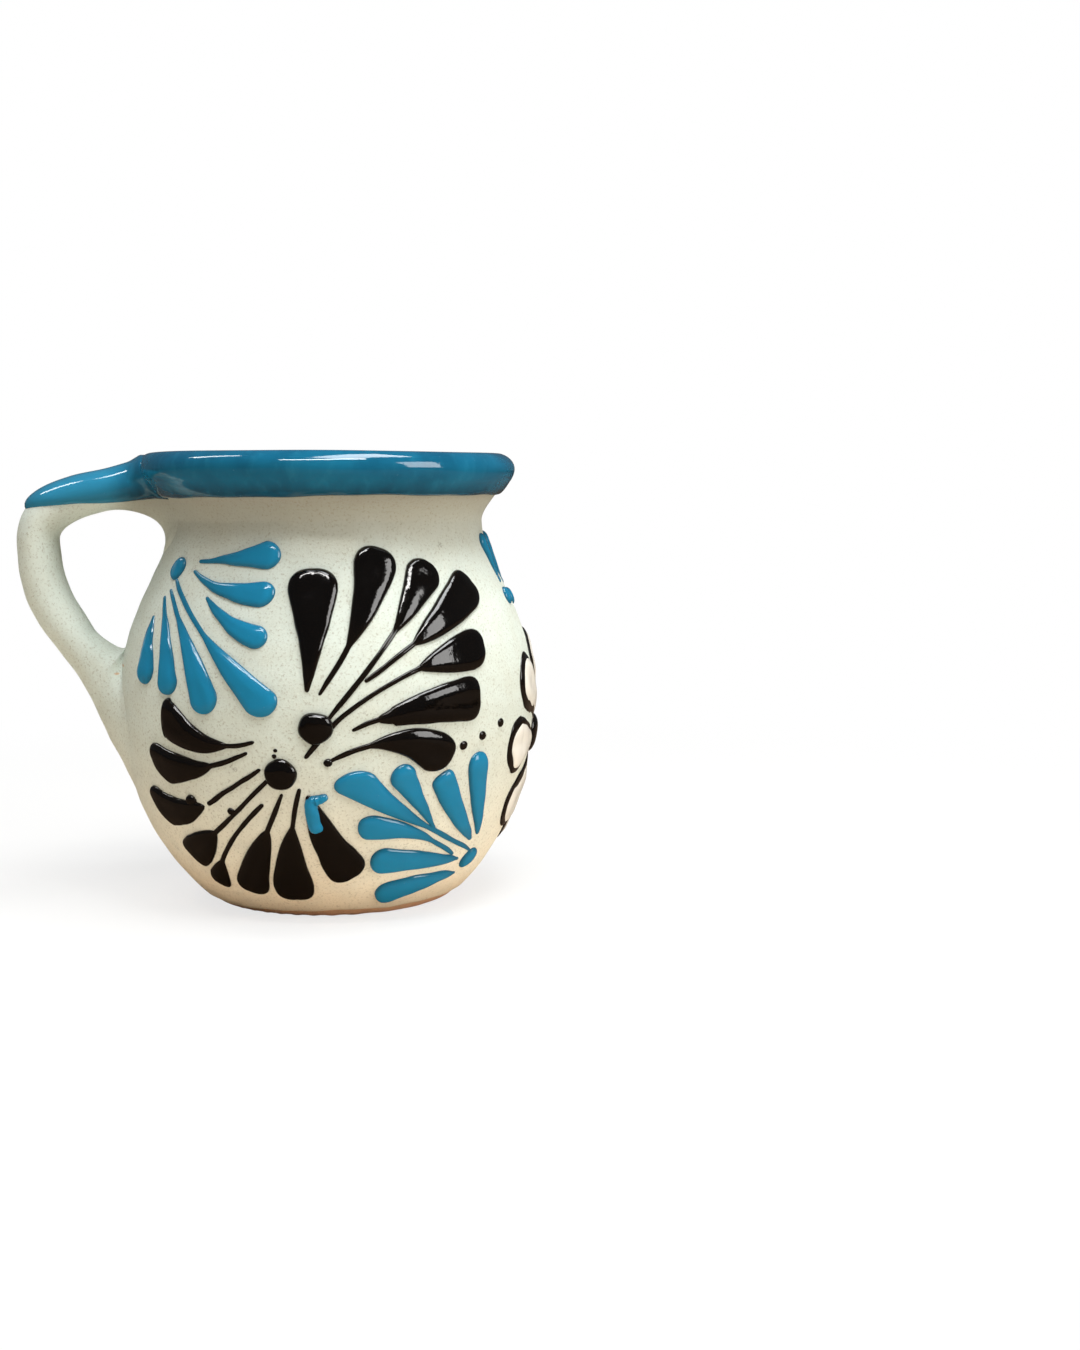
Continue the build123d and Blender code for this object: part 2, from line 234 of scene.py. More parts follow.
class Finish:
    """A fired surface: what is even over it is set at once, and what varies is fed in."""

    def __init__(self, name, **even):
        self.material = bpy.data.materials.new(name)
        self.material.use_nodes = True
        self.tree = self.material.node_tree
        self.shader = self.tree.nodes["Principled BSDF"]
        for socket, value in even.items():
            self.shader.inputs[socket.replace("_", " ")].default_value = value
        self.place = self.node("TexCoord", "Object")

    def node(self, kind, output, settings=None, values=None):
        """Any node: its settings, then the values or wires of its sockets, and one output as a wire."""
        made = self.tree.nodes.new("ShaderNode" + kind)
        for setting, value in (settings or {}).items():
            setattr(made, setting, value)
        for name, value in (values or {}).items():
            if isinstance(value, Wire):
                self.tree.links.new(value.socket, made.inputs[name])
            else:
                made.inputs[name].default_value = value
        return Wire(self, made.outputs[output])

    def grain(self, size, detail=2.0, roughness=0.5, stretch=None):
        """Noise from 0 to 1 whose lumps are about `size` across."""
        place = self.place
        if stretch:
            place = self.node("Mapping", "Vector", None, {"Vector": place, "Scale": stretch})
        values = {"Vector": place, "Scale": 1 / size, "Detail": detail, "Roughness": roughness}
        return self.node("TexNoise", 0, None, values)

    def height(self):
        """Height above the table."""
        return self.node("SeparateXYZ", "Z", None, {0: self.place})

    def blend(self, share, first, second):
        """From the first colour to the second by share."""
        return self.node("Mix", 2, {"data_type": "RGBA"}, {0: share, 6: first, 7: second})

    def bump(self, depth, relief):
        """Fine relief of a depth, for the surface's normal."""
        return self.node("Bump", "Normal", None, {"Height": relief, "Distance": depth, "Strength": 1})

    def feed(self, **varied):
        """What varies over the surface, by its socket."""
        for socket, wire in varied.items():
            self.tree.links.new(wire.socket, self.shader.inputs[socket.replace("_", " ")])

    def on(self, piece):
        """The finish over a whole piece."""
        piece.data.materials.clear()
        piece.data.materials.append(self.material)


def shade(red, green, blue):
    """A colour as it looks on a screen, from 0 to 255, in the light's own terms."""
    parts = [part / 255 for part in (red, green, blue)]
    lit = [part / 12.92 if part <= 0.04045 else ((part + 0.055) / 1.055) ** 2.4 for part in parts]
    return (*lit, 1)


def laid(piece, finish, node):
    """A piece given its finish and the place of a node."""
    finish.on(piece)
    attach(piece, "root")
    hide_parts(node)


columns = 360
bearings = np.arange(columns) * 360 / columns
clay_run = pot_run[::8]
clay_grid = pot_spot(clay_run[:, None], bearings[None, :], -slip_thickness)
under_radii = np.linspace(0.5 * mm, foot_radius - 0.8 * mm, 40)
cut_turn = np.radians(bearings)[None, :]
under_x = under_radii[:, None] * np.sin(cut_turn)
under_y = -under_radii[:, None] * np.cos(cut_turn)
wire_arc = np.hypot(under_x - 30 * mm, under_y + 46 * mm)
wire_marks = 0.08 * mm * np.sin(wire_arc / (0.55 * mm))
under_hollow = 0.5 * mm * (1 - eased(under_radii / (22 * mm)))[:, None]
under_lift = 0.12 * mm + wire_marks + under_hollow
under_grid = np.stack([under_x, under_y, under_lift], -1)
clay_pot = skin("clay_pot", np.concatenate([under_grid, clay_grid]))

red_clay = Finish("red_clay", Roughness=0.9)
clay_lumps = red_clay.grain(9 * mm, 4)
clay_sand = red_clay.grain(0.35 * mm, 3, 0.7)
clay_colour = red_clay.blend(clay_lumps, shade(220, 166, 130), shade(236, 196, 160))
clay_colour = red_clay.blend(clay_sand.between(0.56, 0.7) * 0.45, clay_colour, shade(120, 74, 52))
clay_colour = red_clay.blend(clay_sand.between(0.42, 0.3) * 0.4, clay_colour, shade(224, 182, 146))
red_clay.feed(Base_Color=clay_colour, Normal=red_clay.bump(0.12 * mm, clay_sand + clay_lumps * 0.5))
laid(clay_pot, red_clay, "clay_body")

# The slip: pale, gritty liquid clay that the pot was dipped in. It dries matt, runs thin near the foot, where
# it was wiped off in an uneven line, and goes up over the lip. Low down its colour is warmer, partly the thin
# coat over the red clay and partly painted warm bounce light from the table; under the lip it holds painted
# shade.
slip_edge = 1.15 * mm
slip_skin = 0.35 * mm


def thickened(piece, depth):
    """A fired skin, given its depth on the inner side."""
    shell = piece.modifiers.new("thickness", "SOLIDIFY")
    shell.thickness = depth
    shell.offset = -1
    return piece


def dipped(name, start_run, end_run, lift, row_shares, depth):
    """A fired skin over the pot from one edge to another, `depth` deep."""
    run = start_run[None, :] + (end_run - start_run)[None, :] * row_shares[:, None]
    grid = pot_spot(run, bearings[None, :], lift(run, run - start_run[None, :]))
    return thickened(skin(name, grid, cap=False), depth)


def waves(bearing, *parts):
    """A line that wanders round the mug, of (height, count, phase) parts."""
    return sum(height * np.sin(count * np.radians(bearing) + phase) for height, count, phase in parts)


def slip_lift(run, from_edge):
    """The coat thins out towards its edge."""
    return -0.32 * mm * (1 - eased(from_edge / (0.9 * mm)))


slip_start = slip_edge / math.sin(foot_slope) + waves(
    bearings, (0.35 * mm, 2, 0.4), (0.25 * mm, 5, 2.0), (0.16 * mm, 11, 0.7), (0.1 * mm, 23, 1.9)
)
slip_row_shares = np.linspace(0, 1, 420)
slipped_pot = dipped("slipped_pot", slip_start, crest_run, slip_lift, slip_row_shares, slip_skin)

pale_slip = Finish("pale_slip", Specular_IOR_Level=0.32)
up_the_mug = pale_slip.height() + (pale_slip.grain(24 * mm, 3) - 0.5) * (16 * mm)
slip_sand = pale_slip.grain(0.5 * mm, 3, 0.75)
slip_clouds = pale_slip.grain(7 * mm, 4, 0.55)
slip_dust = pale_slip.grain(1.4 * mm, 3, 0.7)
# Warm cream low down, cool mint higher up: partly the slip's own tone, partly painted warm bounce light from
# the table.
slip_colour = pale_slip.blend(up_the_mug.between(4 * mm, 44 * mm), shade(238, 228, 206), shade(211, 220, 211))
slip_colour = pale_slip.blend(slip_clouds.between(0.35, 0.75) * 0.35, slip_colour, shade(201, 203, 188))
slip_colour = pale_slip.blend(slip_sand.between(0.53, 0.68) * 0.5, slip_colour, shade(146, 138, 114))
slip_colour = pale_slip.blend(slip_sand.between(0.42, 0.28) * 0.4, slip_colour, shade(232, 236, 226))
slip_colour = pale_slip.blend(slip_dust.between(0.66, 0.76) * 0.3, slip_colour, shade(148, 124, 92))
flat_place = pale_slip.node("Mapping", "Vector", None, {"Vector": pale_slip.place, "Scale": (1, 0.1, 2)})
slip_lumps = slip_clouds * 0.5 + pale_slip.grain(3 * mm, 2) * 0.5
stain = slip_lumps.between(0.62, 0.7) * slip_sand.between(0.42, 0.62)
slip_colour = pale_slip.blend(stain * 0.5, slip_colour, shade(120, 118, 106))
for speck in ((-44.4, -0.8, 106.8), (-43.3, -0.8, 101.4), (-44.7, -0.8, 97.8)):
    spot = tuple(part * mm for part in speck)
    from_speck = pale_slip.node("VectorMath", "Value", {"operation": "DISTANCE"}, {0: flat_place, 1: spot})
    speck_share = 1 - (from_speck + slip_dust * (0.6 * mm)).between(0.55 * mm, 0.95 * mm)
    slip_colour = pale_slip.blend(speck_share * 0.7, slip_colour, shade(204, 158, 110))
# Warmer and lighter near the foot: partly the thin slip over red clay, partly painted bounce light from the
# table.
foot_tint_and_bounce = 1 - up_the_mug.between(1 * mm, 15 * mm)
slip_colour = pale_slip.blend(foot_tint_and_bounce * 0.34, slip_colour, shade(238, 208, 170))
from_axis = pale_slip.node("Mapping", "Vector", None, {"Vector": pale_slip.place, "Scale": (1, 1, 0)})
from_axis = pale_slip.node("VectorMath", "Value", {"operation": "LENGTH"}, {0: from_axis})
# Painted shade: the neck below the lip's overhang, between 69 and 88 mm up, is darkened in the colour.
painted_lip_shade = pale_slip.height().between(69 * mm, 88 * mm) * (1 - from_axis.between(40 * mm, 47 * mm))
slip_colour = pale_slip.blend(painted_lip_shade * 0.75, slip_colour, shade(130, 121, 103))
pale_slip.feed(
    Base_Color=slip_colour,
    Roughness=0.74 + slip_sand * 0.2,
    Normal=pale_slip.bump(0.07 * mm, slip_sand + slip_dust * 0.8 + slip_clouds),
)
laid(slipped_pot, pale_slip, "slip_coat")

# The handle: a strap pulled from a lump of the same clay, luted on under the lip and on the lower belly. Its
# joints were smoothed over with wet fingers, and it was dipped in the slip with the pot.
handle_start = (-36.4 * mm, 90.1 * mm)
handle_peak = (-61.1 * mm, 76.6 * mm)
handle_end = (-37.14 * mm, 23.08 * mm)
handle_slope = math.radians(24)
root_way = (0.3117, -0.9502)
away_way = (-math.cos(handle_slope), -math.sin(handle_slope))
handle_top = drawn(handle_start, handle_peak, away_way, down_way, 1.3, 0.92)
handle_fall = drawn(handle_peak, handle_end, down_way, root_way, 1.1, 2.0)
root_start = (-30.6 * mm, 88.9 * mm)
root_length = 6.2 * mm
handle_root = np.linspace(root_start, handle_start, 24)[:-1]
handle_line, handle_run = evened(np.concatenate([handle_root, handle_top, handle_fall[1:]]), 0.25 * mm)
handle_share = handle_run / handle_run[-1]
handle_way = np.gradient(handle_line, axis=0)
handle_way /= np.linalg.norm(handle_way, axis=1)[:, None]
handle_way[handle_run < root_length] = handle_way[np.searchsorted(handle_run, root_length) + 1]
handle_out = np.column_stack([handle_way[:, 1], -handle_way[:, 0]])
section_shares = (0.00, 0.10, 0.25, 0.40, 0.55, 0.70, 0.85, 1.00)
half_widths = np.interp(handle_share, section_shares, (8.8, 7.8, 7.0, 7.0, 7.0, 7.1, 7.7, 8.1)) * mm
half_depths = np.interp(handle_share, section_shares, (4.1, 4.0, 3.95, 4.25, 4.4, 4.55, 4.4, 3.1)) * mm
bend_share = 0.285
bend_reach_share = 0.09
bend_rows = 17
crotch_height = 57.5 * mm
web_slope = 0.62
web_start = 2 * mm
web_sunk = 0.8 * mm
root_depth = 0.7 * mm
flare_top = 93.6 * mm
strap_columns = 128
round_strap = np.arange(strap_columns) / strap_columns * 2 * math.pi


def squared(angle, power):
    """Cosine of a slightly squared circle."""
    return np.sign(np.cos(angle)) * np.abs(np.cos(angle)) ** power


def fat_radius(height):
    """The slip's outermost radius at a height."""
    outside = pot_run <= crest_run
    return np.interp(height, pot_line[outside, 1], pot_line[outside, 0])


def pulled_strap(lift):
    """The strap's grid, `lift` off its slip, with its ends flared into the pot."""
    side = squared(round_strap - math.pi / 2, 0.9)[None, :]
    back = squared(round_strap, 0.96)[None, :]
    fingers = 1 + 0.02 * np.sin(9 * handle_share + 0.5)[:, None] + 0.012 * np.sin(23 * handle_share)[:, None]
    across = side * half_widths[:, None] * fingers
    below = np.clip(back, 0, 1) ** 2
    above = np.clip(-back, 0, 1) ** 2
    sides = 1 - below - above
    deep = -back * half_depths[:, None] * (2 - fingers)
    x = handle_line[:, :1] + handle_out[:, :1] * deep
    z = handle_line[:, 1:] + handle_out[:, 1:] * deep
    grid = np.stack([x, across + 0 * x, z], -1)
    # The inside of the top bend is rounded off, as a thumb leaves it.
    worn = grid.copy()
    for _ in range(2):
        padded = np.concatenate([worn[:1]] * bend_rows + [worn] + [worn[-1:]] * bend_rows)
        total = np.cumsum(np.concatenate([0 * padded[:1], padded]), axis=0)
        worn = (total[2 * bend_rows + 1 :] - total[: -2 * bend_rows - 1]) / (2 * bend_rows + 1)
    bend = np.exp(-(((handle_share - bend_share) / bend_reach_share) ** 2))[:, None]
    grid = grid + (worn - grid) * (bend * below)[..., None]
    centre = np.stack([handle_line[:, 0], 0 * handle_run, handle_line[:, 1]], -1)[:, None, :]
    ray = grid - centre
    ray /= np.linalg.norm(ray, axis=-1, keepdims=True)
    top_end = handle_share[:, None] < 0.5
    # A web of clay fills the crotch over the lower joint.
    gap = np.hypot(grid[..., 0], grid[..., 1]) - fat_radius(grid[..., 2])
    fallen = np.maximum(crotch_height - grid[..., 2], 0)
    web = below * np.minimum(web_slope * fallen**2 / (fallen + web_start), np.maximum(gap + web_sunk, 0))
    web = np.where(top_end, 0, web)
    grid = grid + ray * web[..., None]
    # Both joints flare out into the wall.
    clear = np.hypot(grid[..., 0], grid[..., 1]) - fat_radius(grid[..., 2])
    top_fillet = 4.0 + 10.0 * below - 1.6 * above
    low_fillet = 7.0 * sides + 2.3 * below
    fillet = np.where(top_end, top_fillet, low_fillet) * mm
    near = np.clip(1 - clear / np.maximum(fillet, 0.1 * mm), 0, 1)
    grid = grid + ray * (fillet * (1 - np.sqrt(1 - near**2)))[..., None]
    grid[..., 2] = np.where(top_end, np.minimum(grid[..., 2], flare_top), grid[..., 2])
    radius = np.hypot(grid[..., 0], grid[..., 1])
    wanted = fat_radius(grid[..., 2]) + np.maximum(clear, 0.1 * clear - root_depth)
    wanted = np.where(near > 0, wanted, radius)
    pull = eased(near * 1.5) * (wanted - radius) / radius
    grid = grid * (1 + np.stack([pull, pull, 0 * pull], -1))
    # A coat lies off the strap where the strap is outside the wall.
    down = np.gradient(grid, axis=0)
    beside = np.roll(grid, -1, axis=1) - np.roll(grid, 1, axis=1)
    normal = np.cross(beside, down)
    normal /= np.maximum(np.linalg.norm(normal, axis=-1, keepdims=True), 1e-12)
    normal *= np.sign(np.sum(normal * ray, axis=-1, keepdims=True))
    outside = eased((clear + 0.4 * mm) / (0.8 * mm))
    return grid + normal * (lift(grid) * outside)[..., None]


bare_strap = pulled_strap(lambda grid: 0 * grid[..., 0])
pulled_handle = skin("pulled_handle", bare_strap)
laid(pulled_handle, pale_slip, "handle")

# The trailed strokes: coloured liquid slip squeezed from a bulb on to the dry coat. Each starts as a thin
# string, swells into a heavy drop and fires to a thick, glossy bead. They are laid in fans, each from an eye.
stem_half = 0.52 * mm
cap_length = 0.6 * mm
start_length = 3.2 * mm
full_crown = 1.5 * mm
sunk_depth = 0.28 * mm
deep_slip = 1.4 * mm
upper_length = neck_run - belly_run


def climb_span(climb):
    """The wall's length from the belly down to the foot or up to the neck."""
    return np.where(np.asarray(climb) < 0, belly_run, upper_length)


def on_wall(bearing, climb, lift=0.0):
    """Spots on the slip: climb is -1 at the foot, 0 at the belly and 1 at the neck, along the wall."""
    return pot_spot(belly_run + climb * climb_span(climb), bearing, lift)


def wall_radius(climb):
    """The slip's radius at a climb."""
    return np.interp(belly_run + climb * climb_span(climb), pot_run, pot_line[:, 0])


def bead(name, bearing, climb, lift):
    """A bead's closed skin on the wall, which keeps how deep its slip is at each spot."""
    grid = on_wall(bearing, climb, lift)
    piece = skin(name, grid)
    depth_shares = np.clip(np.broadcast_to(lift, grid.shape[:2]) / deep_slip, 0, 1)
    depth = piece.data.attributes.new("depth", "FLOAT", "POINT")
    depth.data.foreach_set("value", depth_shares.ravel())
    return piece


def stroke_places(stroke, along):
    """Bearing and climb by share of a stroke's length: one bend through its three spots, then straight on."""
    spots = np.array(stroke[:3], float)
    ends = on_wall(spots[:, 0], spots[:, 1])
    first, second = np.linalg.norm(np.diff(ends, axis=0), axis=1)
    middle = first / (first + second)
    here = np.clip(along, 0, 1)
    shares = np.stack([
        (here - middle) * (here - 1) / middle,
        here * (here - 1) / (middle * (middle - 1)),
        here * (here - middle) / (1 - middle),
    ], -1)
    slopes = np.array([(1 - middle) / middle, 1 / (middle * (middle - 1)), (2 - middle) / (1 - middle)])
    shares = shares + (along - here)[:, None] * slopes
    return (shares @ spots).T, first + second


def wander(chance, places, waves_count, size):
    """A slow, uneven sway, different for each stroke."""
    total = np.zeros_like(places)
    for wave in range(1, waves_count + 1):
        phase = chance.uniform(0, 6.3)
        total += np.sin(places * wave * 2.1 * math.pi + phase) * chance.uniform(0.4, 1) / wave
    return total * size


def bead_skin(name, bearing, climb, half, crown, dish, slant, lean, chance):
    """A stroke's bead over the spots of its middle line, from its widths and heights."""
    top_spots = 25
    across = -np.cos(np.linspace(0, math.pi, top_spots))
    dome = np.maximum(1 - np.abs(across) ** 2.3, 0) ** (1 / 2.1)
    hollow = dish[:, None] * np.exp(-(((across - chance.uniform(-0.25, 0.25)) / 0.48) ** 2))[None, :]
    lift = crown[:, None] * dome[None, :] * (1 - hollow)
    ripple = wander(chance, np.linspace(0, 1, len(half)), 5, 0.035)
    tilt = chance.uniform(-0.09, 0.09)
    lift = lift * (1 + ripple[:, None] + tilt * across[None, :])
    drift = np.linspace(0, 1, len(half))[:, None] * chance.uniform(9, 15)
    puddle = np.sin(drift + 2.4 * across[None, :] + chance.uniform(0, 6.3))
    puddle = puddle * np.cos(0.6 * drift - 3.1 * across[None, :] + chance.uniform(0, 6.3))
    lift = lift * (1 + 0.06 * puddle * dome[None, :])
    shift = across[None, :] * half[:, None] * (1 + lean[:, None] * np.sign(across)[None, :])
    bottom_shares = np.array([0.9, 0.3, -0.3, -0.9])
    shift = np.concatenate([shift, bottom_shares[None, :] * half[:, None]], 1)
    lift = np.concatenate([lift, np.full((len(half), len(bottom_shares)), -sunk_depth)], 1)
    forward = slant[:, None] * shift
    radius = wall_radius(climb)
    span = climb_span(climb)
    flat_x = np.radians(np.gradient(bearing)) * radius
    flat_y = np.gradient(climb) * span
    flat = np.hypot(flat_x, flat_y)
    flat_x, flat_y = flat_x / flat, flat_y / flat
    move_x = -flat_y[:, None] * shift + flat_x[:, None] * forward
    move_y = flat_x[:, None] * shift + flat_y[:, None] * forward
    bearing = bearing[:, None] + np.degrees(move_x / radius[:, None])
    climb = climb[:, None] + move_y / span[:, None]
    return bead(name, bearing, climb, lift)


def trailed(name, stroke, seed, thick=1.0):
    """One stroke: its three spots, then stem share, half width, swell, bluntness, slant and lean."""
    stem_share, half_width, swell, blunt, end_slant, end_lean = stroke[3:]
    chance = np.random.default_rng(seed)
    length = stroke_places(stroke, np.array([0.0]))[1]
    cap_share = cap_length / length
    body = np.concatenate([np.linspace(0, cap_share, 7), np.linspace(cap_share, 1, 46)[1:]])
    tip = 1 + np.sin(np.linspace(0, math.pi / 2, 17)[1:]) * half_width / length
    along = np.concatenate([body, tip])
    (bearing, climb), _ = stroke_places(stroke, along)
    start = eased(along * length / start_length)
    round_start = np.sqrt(1 - (1 - np.clip(along * length / cap_length, 0, 1)) ** 2)
    string = stem_half * (0.75 + 0.25 * start) * (1 + wander(chance, along, 6, 0.10)) * round_start
    growth = np.clip((along - stem_share) / (1.001 - stem_share), 0, 1)
    growth = growth**swell * (1.3 - 0.3 * growth)
    past = np.clip((along - 1) * length / half_width, 0, 1)
    closing = np.maximum(1 - past**blunt, 0) ** (1 / blunt)
    full = half_width * (1 + wander(chance, along, 4, 0.035))
    half = np.maximum((string + (full - string) * growth) * closing, 0.02 * mm)
    crown = full_crown * (1 - np.exp(-half / (1.9 * mm))) * thick
    crown *= np.maximum(1 - past**2.6, 0) ** (1 / 2.6) / np.maximum(closing, 0.05) ** 0.35
    crown[-1] = 0.01 * mm
    dish = 0.34 * np.clip((half_width - 2.4 * mm) / (2.0 * mm), 0, 1) * growth**3 * (1 - 0.6 * past)
    sway = wander(chance, along, 3, 0.12 * mm) * start
    climb = climb + sway / (45 * mm)
    lean = end_lean * growth**1.5
    slant = end_slant * growth**2
    return bead_skin(name, bearing, climb, half, crown, dish, slant, lean, chance)


def dropped(name, place, half_long, half_wide, turn, seed, crown=0.5):
    """A round drop of slip, or an oval one turned by an angle."""
    chance = np.random.default_rng(seed)
    rings, spokes = 16, 56
    reach = np.sin(np.linspace(0.02, 1, rings) * math.pi / 2)
    angle = np.arange(spokes) / spokes * 2 * math.pi
    edge = 1 + sum(
        chance.uniform(-0.022, 0.022) * np.cos(lobe * angle + chance.uniform(0, 6.3)) for lobe in (2, 3, 4, 5)
    )
    long = half_long * np.cos(angle) * edge
    wide = half_wide * np.sin(angle) * edge
    lean = math.radians(turn)
    across = long * math.cos(lean) - wide * math.sin(lean)
    up = long * math.sin(lean) + wide * math.cos(lean)
    lift = crown * half_wide * np.maximum(1 - reach**2.3, 0) ** (1 / 2.1)
    reach = np.append(reach, 0.8)[:, None]
    lift = np.append(lift, -sunk_depth)[:, None]
    lift = lift * (1 + 0.08 * np.cos(angle + chance.uniform(0, 6.3)) * reach)
    bearing = place[0] + np.degrees(across * reach / wall_radius(place[1]))
    climb = place[1] + up * reach / climb_span(place[1])
    return bead(name, bearing, climb, lift)


def joined(name, pieces):
    """Several meshes as one piece."""
    bpy.ops.object.select_all(action="DESELECT")
    for piece in pieces:
        piece.select_set(True)
    bpy.context.view_layer.objects.active = pieces[0]
    bpy.ops.object.join()
    pieces[0].name = name
    pieces[0].data.name = name
    return pieces[0]


def enamel(name, deep, thin, gloss, ripple):
    """A fired trailing slip: darker where it is deep, with the faint ripple of its pouring."""
    finish = Finish(name, Coat_Roughness=0.03, Specular_IOR_Level=0.5)
    depth = finish.node("Attribute", "Fac", {"attribute_name": "depth"})
    swirl = finish.grain(2.6 * mm, 3)
    body = finish.blend((depth.between(0.05, 0.75) * 0.85 + swirl * 0.3).held(), thin, deep)
    pores = finish.grain(0.5 * mm, 2, 0.6)
    body = finish.blend(pores.between(0.7, 0.8) * 0.25, body, thin)
    finish.feed(
        Base_Color=body,
        Roughness=gloss + (swirl - 0.4).held() * 0.16 + pores.between(0.68, 0.78) * 0.2,
        Normal=finish.bump(ripple, finish.grain(1.9 * mm, 2) + finish.grain(0.55 * mm, 2) * 0.3),
    )
    return finish


black_enamel = enamel("black_enamel", shade(5, 3, 2), shade(20, 12, 6), 0.06, 0.05 * mm)
blue_enamel = enamel("blue_enamel", shade(28, 126, 166), shade(28, 98, 126), 0.09, 0.05 * mm)
finishes = {"black_enamel": black_enamel, "blue_enamel": blue_enamel}

# Each fan has its enamel, its eye's place, half length, half width and turn, and its strokes in the form that
# `trailed` takes: three spots of bearing and climb, stem share, half width, swell, bluntness, slant and lean.
fans = {
    "upper_blue": ("blue_enamel", ((-58, 0.755), 2.5 * mm, 2.1 * mm, 68), (
        ((-48, 0.80), (-32, 0.82), (-21, 0.842), 0.10, 2.84 * mm, 1.7, 2.0, 0.0, 0.0),
        ((-49, 0.75), (-33, 0.65), (-21, 0.637), 0.12, 2.69 * mm, 1.3, 2.0, 0.1, -0.1),
        ((-40, 0.61), (-29, 0.47), (-21, 0.405), 0.08, 2.43 * mm, 1.2, 2.0, 0.0, 0.0),
        ((-57, 0.70), (-34, 0.35), (-19, 0.08), 0.49, 3.25 * mm, 1.1, 2.0, 0.2, 0.1),
        ((-58, 0.64), (-43, 0.36), (-35, 0.09), 0.30, 3.23 * mm, 1.3, 2.0, 0.0, 0.0),
        ((-60, 0.60), (-52, 0.38), (-48, 0.16), 0.10, 2.75 * mm, 1.5, 2.0, 0.0, 0.0),
        ((-62, 0.49), (-60, 0.34), (-58.5, 0.20), 0.00, 2.9 * mm, 1.3, 2.0, 0.0, 0.0),
    )),
    "upper_black": ("black_enamel", ((-4.4, -0.038), 3.4 * mm, 3.3 * mm, 0), (
        ((-6.5, 0.13), (-5.4, 0.374), (-5.3, 0.646), 0.00, 4.87 * mm, 1.25, 2.6, 0.0, 0.0),
        ((-3.4, 0.115), (4.6, 0.362), (14.6, 0.773), 0.40, 4.29 * mm, 0.95, 2.3, 0.0, 0.0),
        ((-1.3, -0.01), (16.6, 0.40), (30.8, 0.714), 0.61, 3.95 * mm, 1.1, 2.2, 0.0, 0.0),
        ((8.4, 0.176), (21.5, 0.338), (45.7, 0.615), 0.42, 4.35 * mm, 0.75, 3.0, 0.1, 0.0),
        ((-7.3, -0.164), (15.6, 0.162), (41.4, 0.305), 0.69, 4.1 * mm, 0.8, 2.8, 0.15, 0.0),
        ((4.8, -0.053), (19.1, 0.018), (37.2, 0.056), 0.22, 4.21 * mm, 0.75, 3.4, 0.0, 0.0),
        ((-1.5, -0.182), (11.5, -0.111), (27.9, -0.147), 0.38, 4.3 * mm, 1.1, 2.3, 0.1, -0.15),
    )),
    "lower_black": ("black_enamel", ((-13.9, -0.231), 3.25 * mm, 3.2 * mm, 0), (
        ((-20.4, -0.097), (-35.8, -0.109), (-45.5, -0.024), 0.29, 3.6 * mm, 0.9, 2.2, -0.4, 0.2),
        ((-22.5, -0.143), (-37.2, -0.218), (-50.8, -0.216), 0.42, 3.7 * mm, 0.8, 2.2, -0.55, 0.1),
        ((-38.2, -0.388), (-45.7, -0.417), (-54.9, -0.415), 0.02, 3.84 * mm, 0.8, 2.3, -0.55, 0.1),
        ((-17.3, -0.253), (-32.5, -0.461), (-46.5, -0.61), 0.70, 3.75 * mm, 0.8, 5.0, 0.0, 0.0),
        ((-19.4, -0.361), (-30, -0.516), (-42.5, -0.745), 0.80, 2.4 * mm, 1.0, 4.0, 0.2, 0.0),
        ((-13.8, -0.313), (-18.9, -0.472), (-28.8, -0.75), 0.40, 3.53 * mm, 0.7, 2.8, 0.0, 0.0),
        ((-9, -0.289), (-11.7, -0.453), (-14.4, -0.766), 0.37, 4.2 * mm, 0.9, 3.0, 0.0, 0.0),
        ((-7, -0.319), (-3.9, -0.469), (2.5, -0.654), 0.00, 4.12 * mm, 0.85, 2.6, -0.1, 0.0),
        ((-19.2, -0.21), (-27, -0.287), (-36.3, -0.373), 1.00, 0.5 * mm, 1.0, 2.0, 0.0, 0.0),
    )),
    "lower_blue": ("blue_enamel", ((51.5, -0.706), 2.6 * mm, 2.1 * mm, 50), (
        ((50, -0.662), (20.3, -0.426), (6.2, -0.281), 0.47, 3.5 * mm, 1.35, 2.2, 0.5, 0.0),
        ((30.7, -0.513), (23.6, -0.367), (18.9, -0.261), 0.10, 2.74 * mm, 1.35, 2.1, 0.0, 0.0),
        ((48, -0.602), (37.5, -0.441), (31.8, -0.312), 0.00, 2.83 * mm, 0.9, 3.0, 0.0, 0.0),
        ((51, -0.584), (45.5, -0.395), (43.3, -0.25), 0.00, 2.9 * mm, 0.95, 2.2, 0.0, 0.0),
        ((41.6, -0.663), (25.2, -0.529), (10.8, -0.462), 0.35, 2.88 * mm, 1.3, 2.0, 0.1, 0.2),
        ((45.6, -0.696), (29.4, -0.665), (15.7, -0.646), 0.05, 3.1 * mm, 0.9, 2.1, 0.0, 0.0),
        ((48.1, -0.782), (32.9, -0.792), (20.3, -0.83), 0.05, 3.3 * mm, 0.9, 2.2, 0.0, 0.0),
    )),
}
knots = {
    "lower_black": ((-40.2, -0.227, 1.15 * mm), (-42.5, -0.368, 1.3 * mm), (-29.5, -0.401, 0.8 * mm)),
    "upper_black": ((-1.4, -0.182, 0.9 * mm),),
}


def far_side(stroke):
    """A stroke's row mirrored to the far side, with its slant and lean."""
    spots = [(180 - bearing, climb) for bearing, climb in stroke[:3]]
    return (*spots, *stroke[3:7], -stroke[7], -stroke[8])


